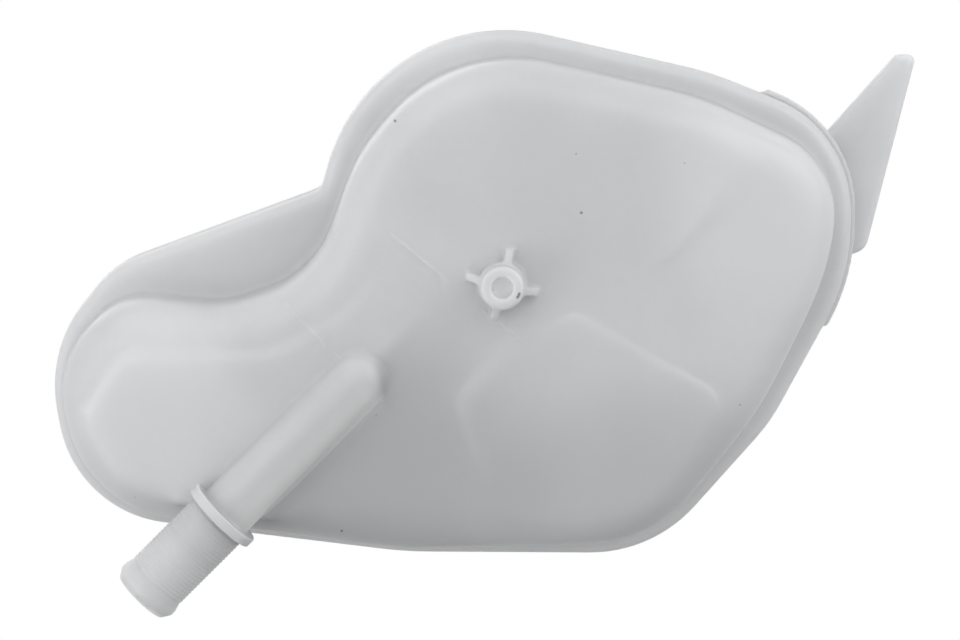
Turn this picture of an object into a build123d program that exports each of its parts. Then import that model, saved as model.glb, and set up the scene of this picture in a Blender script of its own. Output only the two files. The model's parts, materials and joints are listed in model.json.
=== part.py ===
"""Coolant expansion tank: two welded shells with a hose spigot, a locating peg and a screw filler cap.

Millimetres, +Z up as the tank sits in the car. The origin is on the locating peg's axis, at the level
where the peg's gussets begin and its bush ends, and every height below is counted from there.
"""
import math
import os

from build123d import *

os.makedirs("parts", exist_ok=True)

# Tank shells
seam_height = 52.5
wall = 2.8
weld_groove = 0.6

# Lower shell: rim, dome and the left lobe's step
rim_depth = 9.0
rim_round = 3.4
dome_low = 9.0
dome_round = 11.0
dome_crown = 600.0
dome_peak = (15.0, 4.0)
step_slope = 5.6
step_round = 3.0

# Lower shell: the valley beside the spigot, the raised panel and the recessed fan
valley_start = (-30.8, -13.2)
valley_end = (3.8, 14.9)
valley_turn = 18.0
valley_level = 10.9
valley_slope = 7.4
panel_level = 8.5
panel_heading = 79.0
panel_slope = 4.1
panel_round = 1.6
fan_start = (34.0, 0.0)
fan_level = 9.05
fan_heading = -16.0
fan_slope = 6.0

# Hose spigot, along its axis from the centre of its closed end
spigot_end = (-41.2, 28.0)
spigot_height = 16.5
spigot_heading = 135.0
spigot_tube_od = 16.8
spigot_bore = 13.2
spigot_collar_at = 55.4
spigot_collar_od = 23.0
spigot_collar_thick = 2.9
spigot_seat_od = 18.6
spigot_length = 90.7
bead_od = 20.0
bead_width = 4.0
bead_from_tip = 2.4
spigot_tip_bevel = 0.7
spigot_web = 5.0

# Locating peg
peg_od = 12.5
peg_root_od = 13.5
peg_bore = 6.2
peg_drop = 7.5
peg_bore_depth = 4.0
peg_tip_chamfer = 0.8
gusset_count = 4
gusset_turn = 13.0
gusset_reach = 10.6
gusset_thick = 2.4
gusset_heel = 1.5

# Upper shell
base_height = 27.0
base_round = 12.0
tower_height = 55.0
tower_round = 14.0
tower_crown = 420.0

# Fixing lip and fin on the upper shell
lip_reach = 1.8
lip_thick = 3.4
fin_lift = 6.0
fin_thick = 3.5
fin_bevel = 1.0
fin_rib_thick = 3.0
fin_rib_height = 16.0
fin_rib_from_tip = 9.0

# Bleed nipple
nipple_place = (-40.0, 28.0)
nipple_drop = 15.0
nipple_od = 8.0
nipple_bore = 4.6
nipple_length = 26.0
nipple_bead = 0.7
nipple_bead_ramp = 1.4
nipple_bead_land = 1.2
nipple_bead_from_tip = 1.5
nipple_root = 5.0

# Filler neck
neck_place = (26.0, -4.0)
neck_od = 41.0
neck_bore = 34.5
neck_height = 22.0
neck_collar_od = 52.0
neck_collar_thick = 3.0
thread_depth = 1.5

# Filler cap
running_gap = 0.35
seat_gap = 0.3
cap_wall = 3.0
cap_roof = 3.5
cap_skirt_gap = 2.5
cap_grip_count = 24
cap_grip_radius = 2.4
cap_round = 2.5
snap_thick = 1.1

# Valve insert inside the cap
insert_plinth = 1.8
insert_flange_thick = 2.2
insert_flange_gap = 1.1
insert_wall = 5.0
insert_length = 25.0
insert_floor = 3.0
insert_play = 0.45
seal_wire = 3.0
seal_height = 9.0
seal_play = 0.15
port_bore = 13.0
seat_ring_height = 1.0
seat_ring_wall = 2.0
relief_seal_thick = 1.4
relief_plate_thick = 2.4
relief_plate_play = 1.2
relief_plate_bevel = 0.5
relief_coil_od = 18.0
relief_wire = 1.6
relief_turns = 4
retainer_thick = 2.6
retainer_seat = 1.0
retainer_vent = 9.0
retainer_play = 0.1
plunger_stem = 3.2
plunger_head_od = 10.0
plunger_head_thick = 1.8
plunger_rise = 6.5
plunger_clip_od = 6.6
plunger_clip_thick = 1.2
vacuum_coil_od = 5.6
vacuum_wire = 0.6
vacuum_turns = 4
spring_play = 0.15

# Outlines below are corners (x, y, corner radius), clockwise seen from above

# Rim at the weld seam
rim_outline = [
    (-53.5, -25.5, 5), (-116, -2.5, 27), (-136, 23, 40), (-127.5, 71.5, 36), (-29, 83.5, 110),
    (45.5, 84, 42), (80.5, 44.5, 54), (104, 1, 62), (104.5, -43, 36), (62, -60, 100), (-39, -83, 55),
]

# Dome where it leaves the rim
dome_outline = [
    (-55, -1, 31), (-82.5, 8, 28), (-112, 4.5, 17), (-132, 24, 28), (-125.6, 69, 36), (-30, 80, 110),
    (45, 77.5, 42), (76, 38, 96), (95, -0.5, 84), (100.5, -33.5, 25), (58.5, -53, 70), (-15.5, -70, 48),
    (-42.5, -36, 41),
]

# Step on the left lobe, which runs on into the valley
step_outline = [
    (-31, -13, 4), (-46, 7.5, 16), (-68, 20, 26), (-112, 20, 11), (-126, 42, 10), (-112, 63, 14),
    (-70, 70, 20), (-4, 71, 5), (-14, 33, 5), (3, 15, 4),
]

# Raised panel beside the peg
panel_outline = [
    (-13.6, 33.4, 5), (-2, 71, 6), (44, 68, 12), (67, 33.5, 8), (21, 7.6, 5), (3.8, 15.7, 6),
]

# Recessed fan, which runs out over the dome's edge
fan_outline = [
    (79, -47, 2), (70, -31.2, 6), (49.9, -8.1, 6), (21, 7.6, 2), (64, 31.7, 2), (106, 34, 2), (114, -42, 2),
]

# Upper shell's tower over the large lobe
tower_outline = [
    (-47, -22, 30), (-43, 78.5, 26), (43.2, 79, 37), (76.3, 41.6, 50), (99, -0.3, 57), (99.5, -39.5, 31),
    (60.5, -55, 95), (-35.5, -77, 50),
]

# Fixing fin, from inside the wall to its tip and back
fin_outline = [(92, 0, 1), (110, -6.5, 5), (124.7, -65.2, 2), (118.5, -65.2, 2), (88, -31, 1)]

# Stretch of the rim that carries the fixing lip
lip_span = [(83, -62, 1), (60, -20, 1), (60, 16, 1), (122, 16, 1), (122, -62, 1)]

# Worked out from the values above
rim_bottom = seam_height - rim_depth
valley_run = (valley_end[0] - valley_start[0], valley_end[1] - valley_start[1])
valley_heading = math.degrees(math.atan2(valley_run[1], valley_run[0])) + 90 + valley_turn
base_top = seam_height + base_height
tower_top = seam_height + tower_height
neck_top = tower_top + neck_height
nipple_height = tower_top - nipple_drop
insert_od = neck_bore - 2 * insert_play
insert_bore = insert_od - 2 * insert_wall
insert_bottom = neck_top - insert_length
flange_low = neck_top + seat_gap + insert_plinth
flange_top = flange_low + insert_flange_thick
flange_od = neck_od + 2 * thread_depth - 2 * insert_flange_gap
plinth_od = neck_od - 2 * insert_flange_gap
thread_od = neck_od + 2 * thread_depth
cap_bore = thread_od + 2 * running_gap
cap_od = cap_bore + 2 * cap_wall
cap_skirt_low = tower_top + neck_collar_thick + cap_skirt_gap
cap_ceiling = flange_top + running_gap
cap_top = cap_ceiling + cap_roof
snap_bore = plinth_od + 3 * running_gap
groove_depth = seal_wire - insert_play + 2 * seal_play
groove_top = insert_bottom + seal_height + seal_wire + 2 * seal_play
seat_level = insert_bottom + insert_floor + seat_ring_height
plate_low = seat_level + relief_seal_thick
plate_top = plate_low + relief_plate_thick
retainer_low = flange_top - retainer_thick
clip_low = plate_top + plunger_rise
lowest = (Align.CENTER, Align.CENTER, Align.MIN)
highest = (Align.CENTER, Align.CENTER, Align.MAX)


def outline_face(corners, height, grow=0.0):
    """A closed outline with rounded corners as a face at one height, grown or drawn in."""
    with BuildSketch(Plane.XY.offset(height)) as face:
        with BuildLine():
            FilletPolyline(
                *[(x, y) for x, y, radius in corners],
                radius=[radius for x, y, radius in corners],
                close=True,
            )
        make_face()
        if grow:
            offset(amount=grow)
    return face.sketch


def sloped_plane(point, heading, level, slope):
    """A plane facing down through a point, which rises by a slope along a heading, in degrees."""
    along = Vector(math.cos(math.radians(heading)), math.sin(math.radians(heading)))
    rise = math.tan(math.radians(slope))
    return Plane(
        origin=(point[0], point[1], level),
        x_dir=(-along.Y, along.X, 0),
        z_dir=(along.X * rise, along.Y * rise, -1),
    )


def lower_form(skin):
    """The lower shell's form, drawn in by a skin: nothing for the outside, the wall for the hollow."""
    with BuildPart() as rim:
        add(outline_face(rim_outline, seam_height, -skin))
        extrude(amount=skin - rim_depth)
        fillet(rim.faces().sort_by(Axis.Z)[0].edges(), rim_round - skin)
        if not skin:
            chamfer(rim.faces().sort_by(Axis.Z)[-1].edges(), weld_groove)

    with BuildPart() as dome:
        add(outline_face(dome_outline, seam_height, -skin))
        extrude(amount=dome_low - seam_height)
        with Locations((*dome_peak, dome_low + dome_crown)):
            Sphere(dome_crown - skin, rotation=(90, 0, 0), mode=Mode.INTERSECT)
        valley = sloped_plane(valley_start, valley_heading, valley_level + skin, valley_slope)
        split(bisect_by=valley, keep=Keep.BOTTOM)
        bottom = dome.edges().filter_by(lambda edge: edge.bounding_box().max.Z < rim_bottom)
        fillet(bottom, dome_round - skin)

    with BuildPart() as step:
        add(outline_face(step_outline, rim_bottom, -skin))
        extrude(amount=-seam_height)
        face_plane = sloped_plane(valley_start, valley_heading, valley_level + skin, step_slope)
        split(bisect_by=face_plane, keep=Keep.BOTTOM)
        fillet(step.faces().sort_by(Axis.Z)[0].edges(), step_round - skin / 2)

    with BuildPart() as panel:
        add(outline_face(panel_outline, rim_bottom, -skin))
        extrude(amount=-seam_height)
        face_plane = sloped_plane(panel_outline[-1], panel_heading, panel_level + skin, panel_slope)
        split(bisect_by=face_plane, keep=Keep.BOTTOM)
        fillet(panel.faces().sort_by(Axis.Z)[0].edges(), panel_round)

    with BuildPart() as fan:
        add(outline_face(fan_outline, rim_bottom, skin))
        extrude(amount=-seam_height)
        face_plane = sloped_plane(fan_start, fan_heading, fan_level + skin, fan_slope)
        split(bisect_by=face_plane, keep=Keep.TOP)

    with BuildPart() as form:
        add(dome.part)
        add(fan.part, mode=Mode.SUBTRACT)
        add(panel.part)
        add(step.part)
        add(rim.part)
    return form.part


def upper_form(skin):
    """The upper shell's form, drawn in by a skin like the lower one."""
    with BuildPart() as base:
        add(outline_face(rim_outline, seam_height, -skin))
        extrude(amount=base_height - skin)
        fillet(base.faces().sort_by(Axis.Z)[-1].edges(), base_round - skin)
        if not skin:
            chamfer(base.faces().sort_by(Axis.Z)[0].edges(), weld_groove)

    with BuildPart() as tower:
        add(outline_face(tower_outline, seam_height, -skin))
        extrude(amount=tower_height)
        with Locations((*neck_place, tower_top - tower_crown)):
            Sphere(tower_crown - skin, rotation=(90, 0, 0), mode=Mode.INTERSECT)
        top = tower.edges().filter_by(lambda edge: edge.bounding_box().min.Z > base_top)
        fillet(top, tower_round - skin)

    with BuildPart() as form:
        add(base.part)
        add(tower.part)
    return form.part


def turned(points, plane):
    """A solid turned about a plane's Z axis from its half profile in (radius, height)."""
    with BuildPart() as solid:
        with BuildSketch(Plane(plane.origin, x_dir=plane.x_dir, z_dir=-plane.y_dir)):
            with BuildLine():
                Polyline(*points, close=True)
            make_face()
        revolve(axis=Axis(plane.origin, plane.z_dir))
    return solid.part


def coil_spring(outer, wire, turns, low, high):
    """A round-wire compression spring on the neck's axis, standing between two heights."""
    rise = high - low - wire - 2 * spring_play
    start = low + wire / 2 + spring_play
    with BuildPart() as spring:
        with BuildLine() as path:
            Helix(rise / turns, rise, (outer - wire) / 2, center=(*neck_place, start))
        with BuildSketch(Plane(origin=path.line @ 0, z_dir=path.line % 0)):
            Circle(wire / 2)
        sweep(path=path.line, is_frenet=True)
    return spring.part


# Lower shell
spigot_heading_vector = (math.cos(math.radians(spigot_heading)), math.sin(math.radians(spigot_heading)), 0)
spigot_axis = Plane(origin=(*spigot_end, spigot_height), x_dir=(0, 0, 1), z_dir=spigot_heading_vector)
bead_start = spigot_length - bead_from_tip - bead_width
spigot_profile = [
    (0, 0),
    (spigot_tube_od / 2, 0),
    (spigot_tube_od / 2, spigot_collar_at),
    (spigot_collar_od / 2, spigot_collar_at),
    (spigot_collar_od / 2, spigot_collar_at + spigot_collar_thick),
    (spigot_seat_od / 2, spigot_collar_at + spigot_collar_thick),
    (spigot_seat_od / 2, bead_start),
    (bead_od / 2, bead_start + bead_width * 0.6),
    (bead_od / 2, bead_start + bead_width),
    (spigot_seat_od / 2 - spigot_tip_bevel, spigot_length),
    (0, spigot_length),
]

with BuildPart() as peg:
    with Locations((0, 0, -peg_drop)):
        Cylinder(peg_od / 2, peg_drop + dome_low + wall, align=lowest)
    chamfer(peg.faces().sort_by(Axis.Z)[0].edges(), peg_tip_chamfer)
    Cylinder(peg_root_od / 2, dome_low + wall, align=lowest)
    for turn in range(gusset_count):
        heading = math.radians(gusset_turn + 360 / gusset_count * turn)
        across = Vector(-math.sin(heading), math.cos(heading), 0)
        side = Plane(origin=(0, 0, 0), x_dir=(math.cos(heading), math.sin(heading), 0), z_dir=-across)
        with BuildSketch(side):
            with BuildLine():
                Polyline(
                    (0, 0),
                    (peg_root_od / 2, 0),
                    (gusset_reach, dome_low - gusset_heel),
                    (gusset_reach, dome_low + wall),
                    (0, dome_low + wall),
                    close=True,
                )
            make_face()
        extrude(amount=gusset_thick / 2, both=True)

with BuildPart() as web:
    with BuildSketch(Plane(spigot_axis.origin, x_dir=spigot_axis.z_dir, z_dir=spigot_axis.y_dir)):
        Rectangle(spigot_collar_at, rim_bottom - spigot_height, align=(Align.MIN, Align.MIN))
    extrude(amount=spigot_web / 2, both=True)

with BuildPart() as lower_shell:
    add(lower_form(0))
    add(peg.part)
    add(web.part)
    add(lower_form(wall), mode=Mode.SUBTRACT)
    add(turned(spigot_profile, spigot_axis))
    with Locations(spigot_axis):
        Sphere(spigot_tube_od / 2)
        Cylinder(spigot_bore / 2, spigot_length, align=lowest, mode=Mode.SUBTRACT)
    with Locations((*spigot_end, spigot_height)):
        Cylinder(spigot_bore / 2, spigot_tube_od, align=lowest, mode=Mode.SUBTRACT)
    with Locations((0, 0, -peg_drop)):
        Cylinder(peg_bore / 2, peg_bore_depth, align=lowest, mode=Mode.SUBTRACT)
lower_shell.part.label = "lower_shell"
export_step(lower_shell.part, "parts/lower_shell.step")

# Upper shell
with BuildPart() as lip:
    add(outline_face(rim_outline, seam_height, lip_reach))
    extrude(amount=lip_thick)
    add(outline_face(lip_span, seam_height))
    extrude(amount=lip_thick, mode=Mode.INTERSECT)

with BuildPart() as fin:
    add(outline_face(fin_outline, seam_height + fin_lift))
    extrude(amount=fin_thick)
    chamfer(fin.faces().sort_by(Axis.Z)[0].edges(), fin_bevel)

fin_root = Vector(*fin_outline[-1][:2]) + Vector(*fin_outline[0][:2])
fin_tip = Vector(*fin_outline[2][:2]) + Vector(*fin_outline[3][:2])
fin_run = (fin_tip - fin_root) / 2
with BuildPart() as fin_rib:
    with BuildSketch(
        Plane(
            origin=(fin_root.X / 2, fin_root.Y / 2, seam_height + fin_lift + fin_thick / 2),
            x_dir=fin_run,
            z_dir=fin_run.cross(Vector(0, 0, 1)),
        )
    ):
        with BuildLine():
            Polyline((0, 0), (fin_run.length - fin_rib_from_tip, 0), (0, fin_rib_height), close=True)
        make_face()
    extrude(amount=fin_rib_thick / 2, both=True)

nipple_axis = Plane(origin=(*nipple_place, nipple_height), x_dir=(0, 0, 1), z_dir=(-1, 0, 0))
nipple_land_end = nipple_length - nipple_bead_from_tip
nipple_land_start = nipple_land_end - nipple_bead_land
nipple_profile = [
    (0, -2 * wall),
    (nipple_od / 2 + nipple_bead, -2 * wall),
    (nipple_od / 2 + nipple_bead, nipple_root),
    (nipple_od / 2, nipple_root),
    (nipple_od / 2, nipple_land_start - nipple_bead_ramp),
    (nipple_od / 2 + nipple_bead, nipple_land_start),
    (nipple_od / 2 + nipple_bead, nipple_land_end),
    (nipple_od / 2 - nipple_bead, nipple_length),
    (0, nipple_length),
]

with BuildPart() as upper_shell:
    add(upper_form(0))
    add(lip.part)
    add(fin.part)
    add(fin_rib.part)
    with Locations((*neck_place, tower_top - neck_collar_thick)):
        Cylinder(neck_collar_od / 2, 2 * neck_collar_thick, align=lowest)
        Cylinder(neck_od / 2, neck_height + neck_collar_thick, align=lowest)
    add(upper_form(wall), mode=Mode.SUBTRACT)
    add(turned(nipple_profile, nipple_axis))
    with Locations((*neck_place, neck_top)):
        Cylinder(neck_bore / 2, neck_height + 2 * wall, align=highest, mode=Mode.SUBTRACT)
    with Locations(nipple_axis):
        Cylinder(nipple_bore / 2, 2 * (nipple_length + wall), mode=Mode.SUBTRACT)
upper_shell.part.label = "upper_shell"
export_step(upper_shell.part, "parts/upper_shell.step")

# Filler cap, turned about the neck's axis
neck_axis = Plane(origin=(*neck_place, 0))
cap_profile = [
    (0, cap_ceiling),
    (cap_bore / 2, cap_ceiling),
    (cap_bore / 2, flange_low - running_gap),
    (snap_bore / 2, flange_low - running_gap),
    (cap_bore / 2, flange_low - running_gap - snap_thick),
    (cap_bore / 2, cap_skirt_low),
    (cap_od / 2, cap_skirt_low),
    (cap_od / 2, cap_top),
    (0, cap_top),
]
with BuildPart() as cap_shell:
    add(turned(cap_profile, neck_axis))
    fillet(cap_shell.faces().sort_by(Axis.Z)[-1].edges(), cap_round)
    with Locations((*neck_place, cap_skirt_low)):
        with PolarLocations(cap_od / 2, cap_grip_count):
            Cylinder(cap_grip_radius, cap_top - cap_round - cap_skirt_low, align=lowest)
cap_shell.part.label = "cap_shell"
export_step(cap_shell.part, "parts/cap_shell.step")

# Valve insert, with its seal groove, valve seat and a shoulder for the retainer
insert_profile = [
    (port_bore / 2, insert_bottom),
    (insert_od / 2, insert_bottom),
    (insert_od / 2, insert_bottom + seal_height),
    (insert_od / 2 - groove_depth, insert_bottom + seal_height),
    (insert_od / 2 - groove_depth, groove_top),
    (insert_od / 2, groove_top),
    (insert_od / 2, neck_top + seat_gap),
    (plinth_od / 2, neck_top + seat_gap),
    (plinth_od / 2, flange_low),
    (flange_od / 2, flange_low),
    (flange_od / 2, flange_top),
    (insert_bore / 2 + retainer_seat, flange_top),
    (insert_bore / 2 + retainer_seat, retainer_low),
    (insert_bore / 2, retainer_low),
    (insert_bore / 2, insert_bottom + insert_floor),
    (port_bore / 2 + seat_ring_wall, insert_bottom + insert_floor),
    (port_bore / 2 + seat_ring_wall, seat_level),
    (port_bore / 2, seat_level),
]
with BuildPart() as valve_insert:
    add(turned(insert_profile, neck_axis))
valve_insert.part.label = "valve_insert"
export_step(valve_insert.part, "parts/valve_insert.step")

# Ring seal between the insert and the neck's bore
with BuildPart() as neck_seal:
    with Locations((*neck_place, insert_bottom + seal_height + seal_play + seal_wire / 2)):
        Torus(neck_bore / 2 - seal_play - seal_wire / 2, seal_wire / 2)
neck_seal.part.label = "neck_seal"
export_step(neck_seal.part, "parts/neck_seal.step")

# Pressure relief valve: a rubber disc under a guided plate, held down by the relief spring
with BuildPart() as relief_seal:
    with Locations((*neck_place, seat_level)):
        Cylinder(port_bore / 2 + seat_ring_wall + running_gap, relief_seal_thick, align=lowest)
        Cylinder(plunger_stem / 2 + 2 * running_gap, relief_seal_thick, align=lowest, mode=Mode.SUBTRACT)
relief_seal.part.label = "relief_seal"
export_step(relief_seal.part, "parts/relief_seal.step")

with BuildPart() as relief_plate:
    with Locations((*neck_place, plate_low)):
        Cylinder(insert_bore / 2 - relief_plate_play, relief_plate_thick, align=lowest)
        Cylinder(plunger_stem / 2 + running_gap, relief_plate_thick, align=lowest, mode=Mode.SUBTRACT)
    chamfer(relief_plate.faces().sort_by(Axis.Z)[-1].edges().sort_by(SortBy.LENGTH)[-1], relief_plate_bevel)
relief_plate.part.label = "relief_plate"
export_step(relief_plate.part, "parts/relief_plate.step")

with BuildPart() as relief_spring:
    add(coil_spring(relief_coil_od, relief_wire, relief_turns, plate_top, retainer_low))
relief_spring.part.label = "relief_spring"
export_step(relief_spring.part, "parts/relief_spring.step")

with BuildPart() as spring_retainer:
    with Locations((*neck_place, retainer_low)):
        Cylinder(insert_bore / 2 + retainer_seat - retainer_play, retainer_thick, align=lowest)
        Cylinder(retainer_vent / 2, retainer_thick, align=lowest, mode=Mode.SUBTRACT)
spring_retainer.part.label = "spring_retainer"
export_step(spring_retainer.part, "parts/spring_retainer.step")

# Vacuum valve: a plunger that closes upwards against the rubber disc
plunger_profile = [
    (0, seat_level - seal_play - plunger_head_thick),
    (plunger_head_od / 2, seat_level - seal_play - plunger_head_thick),
    (plunger_head_od / 2, seat_level - seal_play),
    (plunger_stem / 2, seat_level - seal_play),
    (plunger_stem / 2, clip_low),
    (plunger_clip_od / 2, clip_low),
    (plunger_clip_od / 2, clip_low + plunger_clip_thick),
    (0, clip_low + plunger_clip_thick),
]
with BuildPart() as vacuum_plunger:
    add(turned(plunger_profile, neck_axis))
vacuum_plunger.part.label = "vacuum_plunger"
export_step(vacuum_plunger.part, "parts/vacuum_plunger.step")

with BuildPart() as vacuum_spring:
    add(coil_spring(vacuum_coil_od, vacuum_wire, vacuum_turns, plate_top, clip_low))
vacuum_spring.part.label = "vacuum_spring"
export_step(vacuum_spring.part, "parts/vacuum_spring.step")
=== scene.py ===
"""Looks of the coolant expansion tank: milky plastic shells, ribbed spigot, threaded neck and filler cap."""
import json
import math

import bpy
import numpy as np
from mathutils import Matrix, Vector

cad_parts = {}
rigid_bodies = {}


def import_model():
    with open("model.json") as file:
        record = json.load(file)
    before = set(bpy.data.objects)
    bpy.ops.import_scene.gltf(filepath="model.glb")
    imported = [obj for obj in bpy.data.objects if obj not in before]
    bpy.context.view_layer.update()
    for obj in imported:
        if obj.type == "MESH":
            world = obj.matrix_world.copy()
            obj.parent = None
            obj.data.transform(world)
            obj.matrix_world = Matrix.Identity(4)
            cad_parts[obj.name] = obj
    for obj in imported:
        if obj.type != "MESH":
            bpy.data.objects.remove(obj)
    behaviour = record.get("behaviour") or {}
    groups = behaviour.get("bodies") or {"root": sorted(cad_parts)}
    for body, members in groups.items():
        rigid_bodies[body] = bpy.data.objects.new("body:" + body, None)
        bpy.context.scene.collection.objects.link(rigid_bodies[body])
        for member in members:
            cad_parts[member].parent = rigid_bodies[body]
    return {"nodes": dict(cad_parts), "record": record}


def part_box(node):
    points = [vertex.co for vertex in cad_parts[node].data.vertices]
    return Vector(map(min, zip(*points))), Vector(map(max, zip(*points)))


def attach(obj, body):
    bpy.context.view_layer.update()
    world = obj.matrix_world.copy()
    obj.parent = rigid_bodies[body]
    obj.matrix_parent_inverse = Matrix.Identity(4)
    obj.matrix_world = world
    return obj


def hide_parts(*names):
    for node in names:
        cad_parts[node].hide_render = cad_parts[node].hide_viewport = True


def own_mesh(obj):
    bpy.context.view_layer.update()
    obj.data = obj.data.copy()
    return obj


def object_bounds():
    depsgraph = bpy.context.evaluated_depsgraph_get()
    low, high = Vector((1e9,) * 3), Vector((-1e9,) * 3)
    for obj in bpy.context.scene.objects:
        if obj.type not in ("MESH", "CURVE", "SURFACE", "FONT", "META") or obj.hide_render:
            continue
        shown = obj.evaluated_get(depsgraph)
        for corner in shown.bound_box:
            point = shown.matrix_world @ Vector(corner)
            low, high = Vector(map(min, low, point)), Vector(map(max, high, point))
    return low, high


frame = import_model()
cad_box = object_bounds()

bl_info = {
    "name": "Coolant expansion tank",
    "version": (1, 0, 0),
    "blender": (4, 5, 0),
    "location": "View3D > Sidebar > Tank",
    "description": "Dresses the packed coolant expansion tank and sets up its studio",
    "category": "Object",
}

MM = 0.001
MERGE_DISTANCE = 0.001 * MM
FULL_TURN = 2 * math.pi

SOFT_STEPS = 20
RELAX_FACTOR = 0.5
PATH_GAIN = 1.5
RIDGE_REACH = 4 * MM
CREST_SHARE = 9
FACING = 0.6

# Angles in degrees below which neighbouring faces shade as one
SKIN_ANGLE = 38
SLEEVE_ANGLE = 32
FLASH_ANGLE = 60
PIECE_ANGLE = 40
THREAD_ANGLE = 30

# Small pieces: faces round a bend, shares of a size, and metres from which a wall is sought
RING_STEPS = 96
FLASH_STEPS = 3
BAR_STEPS = 4
BAR_ROUNDING = 0.55
WALL_SEARCH = 0.1
RIB_UP, RIB_LAND, RIB_DOWN = 0.26, 0.44, 0.70
THREAD_LEAD = 0.14
THREAD_START = 0.02

# Paths seen from below, as (x, y) corners in millimetres
PANEL_SIDE = ((3.8, 15.7), (-13.6, 33.4), (-2.0, 71.0))
STEP_SIDE = ((-126.0, 60.0), (-126.0, 42.0), (-112.0, 20.0), (-92.0, 20.0))
STEP_RIDGE = ((-122.0, 36.0), (-112.0, 20.0), (-68.0, 20.0), (-46.0, 7.5), (-31.0, -13.0))
FAN_FOOT = ((21.0, 7.6), (67.0, 33.5))

# Straight lines of the mould seen from below, each with the rise of its ridge
MOULD_LINES = (
    (((-63.5, 5.7), (-49.5, 19.7)), 0.26 * MM),
    (((-33.4, 35.8), (-12.0, 57.2)), 0.22 * MM),
    (((-30.8, -13.2), (2.8, 14.1)), 0.26 * MM),
)

# Straight lines over the inner baffles, as (x, y) corners in millimetres
BAFFLE_LINES = (
    ((-30.0, 40.0), (70.0, 40.0)),
    ((-18.0, -52.0), (-18.0, 64.0)),
    ((66.0, -40.0), (66.0, 40.0)),
    ((-84.0, 4.0), (-84.0, 60.0)),
)

# Specks of dirt on the underside, as (x, y) in millimetres, their radius and how high they reach
DIRT_SPOTS = ((-30.9, -46.6), (-46.8, 73.4), (22.8, -20.5), (4.8, 1.5), (4.6, 2.0), (4.3, 2.5))
DIRT_RADIUS = 0.42 * MM
DIRT_HEIGHT = 25 * MM

# Soft patches seen from below, first of painted shade for the spigot's shadow and the darker lower right,
# then of painted light for the shoulders, the left lobe and the peg's bore: middle and reach in millimetres,
# then strength
PAINTED_SHADE_PATCHES = (((-44.0, 58.0), (72.0, 58.0), 1.0), ((40.0, 62.0), (52.0, 40.0), 0.5))
PAINTED_LIGHT_PATCHES = (
    ((80.0, -24.0), (46.0, 50.0), 0.32),
    ((-104.0, 36.0), (36.0, 38.0), 0.36),
    ((0.0, 0.0), (4.4, 4.4), 1.0),
)
# How much clouds ruffle a patch, and where it starts to fade
PATCH_CLOUDS = 0.3
PATCH_CORE = 0.02

# The spigot's closed end, along its axis from the bead
SPIGOT_END = -96.0 * MM

# Where the painted shade and the painted light fade, from start to end, and how strong the painted light is
UNDERSIDE_FADE = (20.0 * MM, 32.0 * MM)
PAINTED_SHADE_PAST = (SPIGOT_END, -86.0 * MM)
PAINTED_SHADE_PAST_SHIFT = 10.0 * MM
PAINTED_SHADE_BESIDE = (7.0 * MM, 12.0 * MM)
PAINTED_LIGHT_BESIDE = (0.0, 6.0 * MM)
PAINTED_LIGHT_REACH = (8.7 * MM, 9.5 * MM)
PAINTED_LIGHT_RUN = (-90.0 * MM, -85.0 * MM)
SPIGOT_PAINTED_LIGHT = 0.7
CREASE_PAINTED_LIGHT = 0.15

# Where the lower skin stays crisp, and how soft it is there
CRISP_SPIGOT_REACH = 14 * MM
CRISP_SPIGOT_RUN = -40 * MM
CRISP_PEG_REACH = 12 * MM
CRISP_PEG_HEIGHT = 10 * MM
CRISP_SEAM = 1.2 * MM
CRISP_FOOT_REACH = 5 * MM
CRISP_FOOT_SHARE = 0.2
LOWER_CRISP = 0.1
FOOT_CRISP = 0.45

# Where its faint edges melt away
MELT_TOP = 32 * MM
MELT_FADE = 4 * MM
MELT_SPIGOT_REACH = 12 * MM
MELT_PANEL_REACH = 9 * MM
MELT_STEP_REACH = 11 * MM

# Where its shoulder is widened, with heights in millimetres
SHOULDER_LOW = 11.0
SHOULDER_HIGH = 42.5
SHOULDER_FADE = 3.0
SHOULDER_SPIGOT_REACH = 13 * MM
SHOULDER_SPIGOT_FADE = 5 * MM
STEP_RIDGE_REACH = 9 * MM
STEP_RIDGE_HOLD = 0.9

# Where the upper skin stays crisp, and how soft it is there
CRISP_NECK_REACH = 27 * MM
CRISP_NECK_DEPTH = 24 * MM
CRISP_FIN_X = 86 * MM
CRISP_FIN_Y = 14 * MM
CRISP_FIN_RISE = 24 * MM
CRISP_NIPPLE_X = -48 * MM
CRISP_NIPPLE_RISE = 32 * MM
UPPER_CRISP = 0.08

# How materials bend light, then colours inside the cap, clean and worn
PLASTIC_IOR = 1.49
RUBBER_IOR = 1.52
RUBBER = ((0.014, 0.014, 0.015), (0.045, 0.044, 0.043))
NYLON = ((0.62, 0.60, 0.54), (0.50, 0.48, 0.43))
INSERT_PLASTIC = ((0.026, 0.027, 0.030), (0.055, 0.055, 0.058))
WIRE = ((0.62, 0.62, 0.63), (0.40, 0.39, 0.38))
BRASS = ((0.78, 0.57, 0.26), (0.52, 0.36, 0.16))

# The studio, in metres: soft boxes by their place from the camera's target and their size
LIGHTS = (
    ("key", (0.62, -0.44, -0.48), 0.8),
    ("side", (-0.75, 0.15, -0.45), 0.8),
    ("fill", (-0.25, -0.50, -0.45), 0.8),
    ("top", (-0.45, -0.55, 0.80), 0.7),
)
FLOOR_SIZE = 200.0
FLOOR_ROUGHNESS = 0.9
VIEW_END = 100.0
SKY_RISE = (-0.5, 0.75)
SKY_BACK = (0.2, 0.8)
SKY_BACK_DIM = 0.8

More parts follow.
